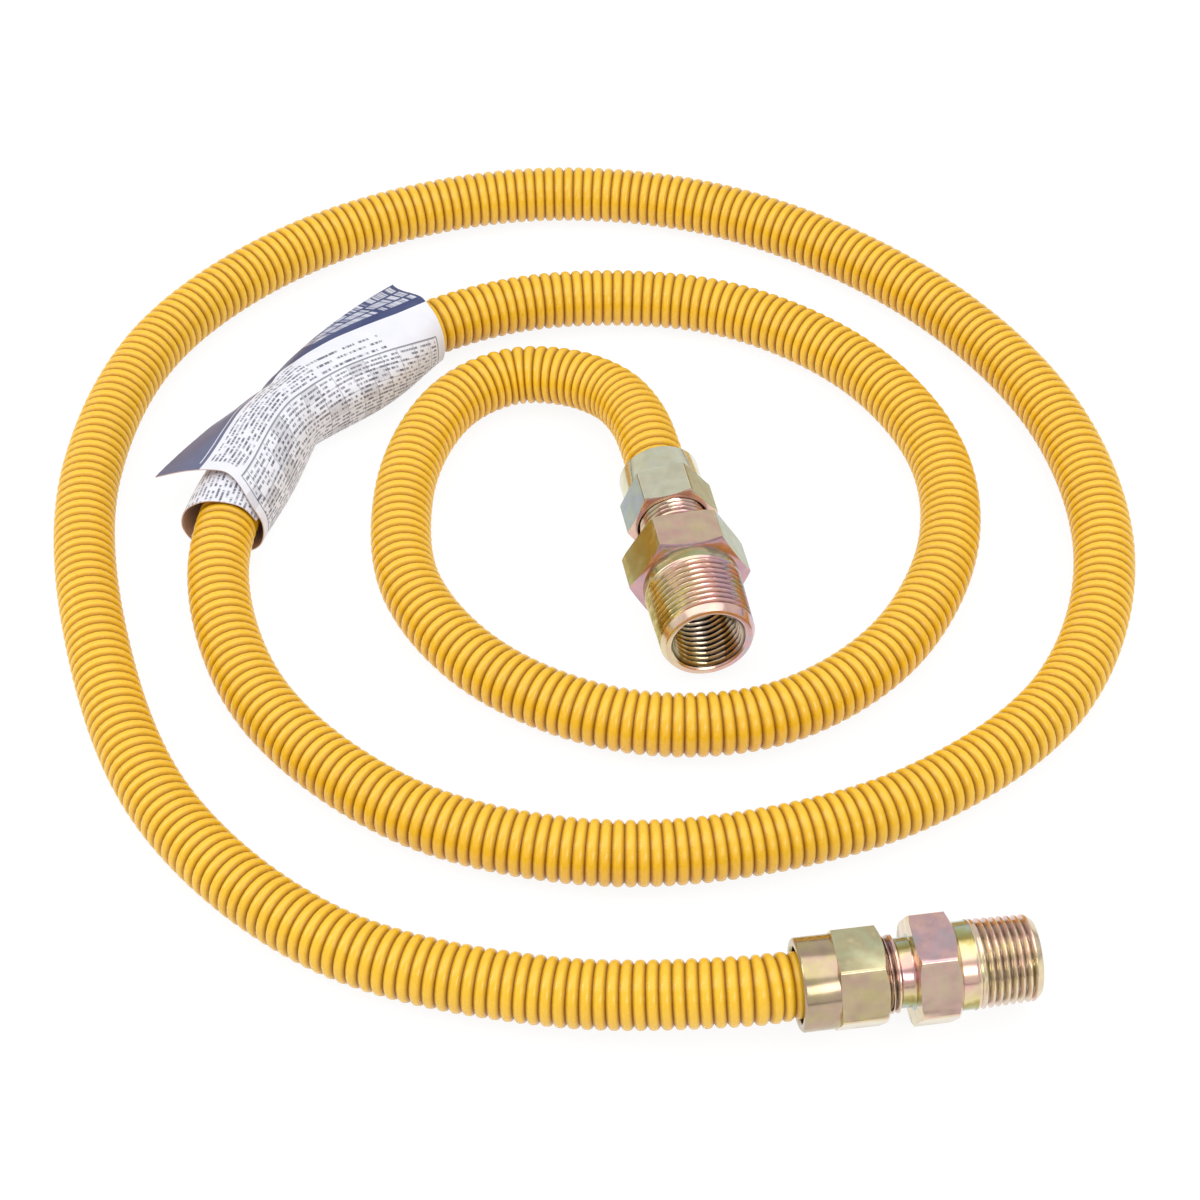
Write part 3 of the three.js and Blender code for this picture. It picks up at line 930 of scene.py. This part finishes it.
def labelPoint(size, points, around, share, lift):
    spot = sectionPoint(points, around)
    before, after = (sectionPoint(points, min(max(around + step, 0), 1)) for step in (-0.01, 0.01))
    way = (after - before).normalized()
    pinch = math.exp(-(((share - size["waist"]) / size["creaseReach"]) ** 2)) + 0.25
    wrinkle = noise.noise(Vector((around * 9 + share * 5, share * 16 - around * 6, 0.5)))
    lift += size["crease"] * pinch * eased(*size["creaseShares"], around) * (wrinkle + 0.35)
    spot = spot + Vector((-way.y, way.x)) * lift
    farCut = size["farCut"] * eased(*size["farShares"], around) * share
    nearCut = size["nearCut"] * eased(*size["nearShares"], around) * (1 - share)
    centre, along = alongHose((size["start"] + share * size["length"] + nearCut - farCut) * mm)
    up = Vector((0, 0, 1))
    return centre + along.cross(up).normalized() * spot.x * mm + up * spot.y * mm


def printPlaces(size, points, share):
    # millimetres from the dark border's edge, so that the print follows the sheet
    spots = [sectionPoint(points, i / size["around"]) for i in range(size["around"] + 1)]
    reach = [0.0]
    for a, b in zip(spots, spots[1:]):
        reach.append(reach[-1] + (b - a).length)
    near, middle, far = labelPrint["border"]
    waist = size["waist"]
    border = near + (middle - near) * eased(0, waist, share) + (far - middle) * eased(waist, 1, share)
    return [reach[-1] - here - border for here in reach]


def between(tree, value, low, high):
    return times(tree, calc(tree, "GREATER_THAN", value, low), calc(tree, "LESS_THAN", value, high))


def stripes(tree, value, pitch, width, start=0.0):
    phase = calc(tree, "FRACT", calc(tree, "MULTIPLY_ADD", value, 1 / pitch, -start / pitch))
    return calc(tree, "LESS_THAN", phase, width / pitch)


def counted(tree, value, pitch):
    return calc(tree, "FLOOR", calc(tree, "DIVIDE", value, pitch))


def flatNoise(tree, kind, first, second, **inputs):
    pair = nodeInto(tree, "ShaderNodeCombineXYZ", {0: first, 1: second}).outputs[0]
    return nodeInto(tree, kind, {"Vector": pair, **inputs}, noise_dimensions="2D").outputs


def strokes(tree, across, along, rowPitch, wordLength, share):
    # soft strokes of uneven length along each row, with finer breaks in them
    row = counted(tree, across, rowPitch)
    found = []
    for length, offset in ((wordLength, 7.3), (wordLength / 4, 3.1)):
        place = calc(tree, "DIVIDE", along, length), times(tree, row, offset)
        found.append(flatNoise(tree, "ShaderNodeTexNoise", *place, Scale=1.0, Detail=0.0)["Fac"])
    words = mapped(tree, found[0], 0.80 - share, 0.88 - share)
    return times(tree, words, mapped(tree, found[1], 0.3, 0.6, 0.25))


def printedRows(tree, across, along, area, rows, word, share):
    low, high, first, last = area
    pitch, width = rows
    inside = times(tree, between(tree, across, low, high), between(tree, along, first, last))
    lines = times(tree, stripes(tree, across, pitch, width), strokes(tree, across, along, pitch, word, share))
    return times(tree, inside, lines)


def labelFace(look):
    material, tree, shader = newMaterial("labelPrint")
    sheet = nodeInto(tree, "ShaderNodeUVMap", uv_map="sheet")
    across, along = nodeInto(tree, "ShaderNodeSeparateXYZ", {0: sheet.outputs[0]}).outputs[:2]
    left, right = look["table"]
    row, column = look["rowPitch"], look["columnPitch"]
    ink = (*look["ink"], 1)
    grain = objectNoise(tree, 160)
    colour = rampNode(tree, grain, [(0.3, tuple(0.94 * c for c in look["paper"])), (0.7, look["paper"])])
    place = counted(tree, across, row), counted(tree, along, column)
    chance = flatNoise(tree, "ShaderNodeTexWhiteNoise", *place)["Value"]
    cells = times(tree, between(tree, across, left, 60), calc(tree, "LESS_THAN", chance, 0.22))
    colour = mixColour(tree, times(tree, cells, 0.35), colour, (*look["cell"], 1))
    for text in look["texts"]:
        printed = printedRows(tree, across, along, *text)
        colour = mixColour(tree, times(tree, printed, 0.88), colour, ink)
    ruled = calc(tree, "MAXIMUM", stripes(tree, across, row, 0.25, left), stripes(tree, along, column, 0.3))
    ruled = times(tree, ruled, between(tree, across, left, right), between(tree, along, 4, 100))
    edge = times(tree, between(tree, across, left - 0.35, left + 0.05), between(tree, along, 3, 101))
    ends = calc(tree, "MAXIMUM", between(tree, along, 3, 3.4), between(tree, along, 100.6, 101))
    ends = times(tree, ends, between(tree, across, left, right))
    lines = calc(tree, "MAXIMUM", times(tree, ruled, 0.6), calc(tree, "MAXIMUM", edge, ends))
    colour = mixColour(tree, times(tree, lines, 0.75), colour, ink)
    # painted sheen: the navy is blended lighter and greyer along the label
    dark = mixColour(tree, mapped(tree, along, *look["sheenSpan"]), (*look["navy"], 1), (*look["sheenNavy"], 1))
    dark = mixColour(tree, times(tree, grain, 0.35), dark, (*look["glare"], 1))
    colour = mixColour(tree, calc(tree, "LESS_THAN", across, 0.0), colour, dark)
    blocks = printedRows(tree, across, along, *look["blocks"])
    rule = times(tree, between(tree, across, -1.5, -1.2), between(tree, along, 62, 101))
    light = calc(tree, "MAXIMUM", times(tree, blocks, 0.7), rule)
    colour = mixColour(tree, light, colour, (*look["paper"], 1))
    dress(tree, shader, {"Base Color": colour, "Roughness": 0.36, "Normal": bumped(tree, grain, 0.06, mm)})
    return material


def makeLabel(size):
    shape = bmesh.new()
    across, down = size["around"], size["along"]
    rows = [(j / down, labelSection(size, j / down)) for j in range(down + 1)]
    sides = []
    for lift in (-size["thickness"] / 2, size["thickness"] / 2):
        grid = []
        for share, points in rows:
            places = [labelPoint(size, points, i / across, share, lift) for i in range(across + 1)]
            grid.append([shape.verts.new(place) for place in places])
        sides.append(grid)
    places = [printPlaces(size, points, share) for share, points in rows]
    uv = shape.loops.layers.uv.new("sheet")
    for side, grid in enumerate(sides):
        for j in range(down):
            for i in range(across):
                corners = [(j, i), (j, i + 1), (j + 1, i + 1), (j + 1, i)]
                corners = corners if side == 0 else corners[::-1]
                face = shape.faces.new([grid[a][b] for a, b in corners])
                face.material_index = 1 - side
                for loop, (a, b) in zip(face.loops, corners):
                    loop[uv].uv = (places[a][b], a / down * size["length"])
    rim = [(0, i) for i in range(across)] + [(j, across) for j in range(down)]
    rim += [(down, i) for i in range(across, 0, -1)] + [(j, 0) for j in range(down, 0, -1)]
    for (a, b), (c, d) in zip(rim, rim[1:] + rim[:1]):
        face = shape.faces.new([sides[0][a][b], sides[1][a][b], sides[1][c][d], sides[0][c][d]])
        face.material_index = 1
    bmesh.ops.recalc_face_normals(shape, faces=shape.faces)
    mesh = meshFrom(shape, "printedLabel")
    mesh.materials.append(labelFace(labelPrint))
    mesh.materials.append(plainMaterial("labelBack"))
    mesh.shade_smooth()
    mesh.set_sharp_from_angle(angle=math.radians(50))
    label = linkObject("printedLabel", mesh)
    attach(label, "hose")
    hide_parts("label")
    return label


label = makeLabel(labelSize)
print("label made")


# steel tube inside the coat: the same ridges, one coat's wall smaller, then a smooth cuff and a flare

tubeSize = {
    "coatWall": 0.45, "perRidge": 4, "sides": 12, "bore": 5.55, "cuff": 6.35, "cuffStart": 3.6,
    "flareStart": 10.0, "flareDepth": 2.0, "flareWall": 0.8,
}


def makeTube(size, outside):
    inner = {key: outside[key] - size["coatWall"] for key in ("crest", "valley", "endCrest")}
    mesh = corrugatedMesh({**outside, **inner, **size}, tubeSteel)
    start, opening = size["flareStart"], size["flareStart"] + size["flareDepth"]
    lip = size["cuff"] + size["flareDepth"]
    flare = [
        (size["cuffStart"], size["bore"]), (size["cuffStart"], size["cuff"]), (start, size["cuff"]),
        (opening, lip), (opening, lip - size["flareWall"]), (start, size["bore"]),
        (size["cuffStart"], size["bore"]),
    ]
    shape = bmesh.new()
    shape.from_mesh(mesh)
    for end in (innerEnd, outerEnd):
        cuff = turnedMesh(flare, 48)
        cuff.transform(fittingFrame(end))
        shape.from_mesh(cuff)
    bmesh.ops.remove_doubles(shape, verts=shape.verts, dist=1e-6)
    bmesh.ops.recalc_face_normals(shape, faces=shape.faces)
    whole = meshFrom(shape, "corrugatedTube")
    whole.materials.append(tubeSteel)
    whole.shade_smooth()
    whole.set_sharp_from_angle(angle=math.radians(40))
    tube = linkObject("corrugatedTube", whole)
    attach(tube, "hose")
    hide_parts("steel_tube")


makeTube(tubeSize, hoseSize)
print("tube made")


# floor and light

floorLook = {
    "reach": 3.0,
    "height": -0.0002,
    "glow": 0.9,  # what the camera sees
    "shadow": (0.13, 0.13, 0.13, 1),  # and the little that a shadow takes off it
    "bounce": (0.85, 0.85, 0.86, 1),  # what lights the object from below
}


def floorMaterial(look):
    material = bpy.data.materials.new("paleFloor")
    material.use_nodes = True
    tree = material.node_tree
    tree.nodes.clear()
    glow = nodeInto(tree, "ShaderNodeEmission", {"Color": (1, 1, 1, 1), "Strength": look["glow"]})
    faint = nodeInto(tree, "ShaderNodeBsdfDiffuse", {"Color": look["shadow"]})
    seen = nodeInto(tree, "ShaderNodeAddShader", {0: glow.outputs[0], 1: faint.outputs[0]})
    matt = nodeInto(tree, "ShaderNodeBsdfDiffuse", {"Color": look["bounce"]})
    rays = nodeInto(tree, "ShaderNodeLightPath").outputs
    direct = calc(tree, "MAXIMUM", rays["Is Camera Ray"], rays["Is Glossy Ray"])
    direct = calc(tree, "MAXIMUM", direct, rays["Is Transmission Ray"])
    mix = nodeInto(tree, "ShaderNodeMixShader", {0: direct, 1: matt.outputs[0], 2: seen.outputs[0]})
    nodeInto(tree, "ShaderNodeOutputMaterial", {"Surface": mix.outputs[0]})
    return material


def makeFloor(look):
    mesh = bpy.data.meshes.new("floor")
    quarters = ((-1, -1), (1, -1), (1, 1), (-1, 1))
    corners = [(x * look["reach"], y * look["reach"], look["height"]) for x, y in quarters]
    mesh.from_pydata(corners, [], [(0, 1, 2, 3)])
    mesh.materials.append(floorMaterial(look))
    linkObject("floor", mesh)


lampLook = {
    "overhead": {"place": (0.0, -0.05, 1.35), "aim": (0, 0, 0), "size": (2.2, 1.4), "power": 11},
    "front": {"place": (0.6, -1.2, 0.9), "aim": (0, 0, 0), "size": (0.8, 0.5), "power": 4},
    "left": {"place": (-1.2, -0.1, 0.8), "aim": (0, 0, 0), "size": (0.5, 0.9), "power": 4},
}
skyLook = {
    "strength": 0.76,
    "levels": [  # height, grey
        (0.0, 0.03), (0.03, 0.05), (0.09, 1.0), (0.45, 0.98), (0.72, 0.84), (1.0, 0.9),
    ],
}


def makeLamp(name, look):
    data = bpy.data.lights.new(name, "AREA")
    data.shape = "RECTANGLE"
    data.size, data.size_y = look["size"]
    data.energy = look["power"]
    lamp = linkObject(name, data)
    lamp.location = look["place"]
    way = Vector(look["aim"]) - Vector(look["place"])
    lamp.rotation_euler = way.to_track_quat("-Z", "Y").to_euler()


def makeWorld(look):
    world = bpy.data.worlds.new("studio")
    world.use_nodes = True
    tree = world.node_tree
    where = nodeInto(tree, "ShaderNodeTexCoord").outputs["Generated"]
    height = nodeInto(tree, "ShaderNodeSeparateXYZ", {0: where}).outputs[2]
    sky = rampNode(tree, height, [(place, (grey,) * 3) for place, grey in look["levels"]], "EASE")
    dress(tree, tree.nodes["Background"], {"Color": sky, "Strength": look["strength"]})
    bpy.context.scene.world = world


makeFloor(floorLook)
for lampName, lamp in lampLook.items():
    makeLamp(lampName, lamp)
makeWorld(skyLook)
bpy.context.scene.view_settings.view_transform = "Standard"
print("stage made")
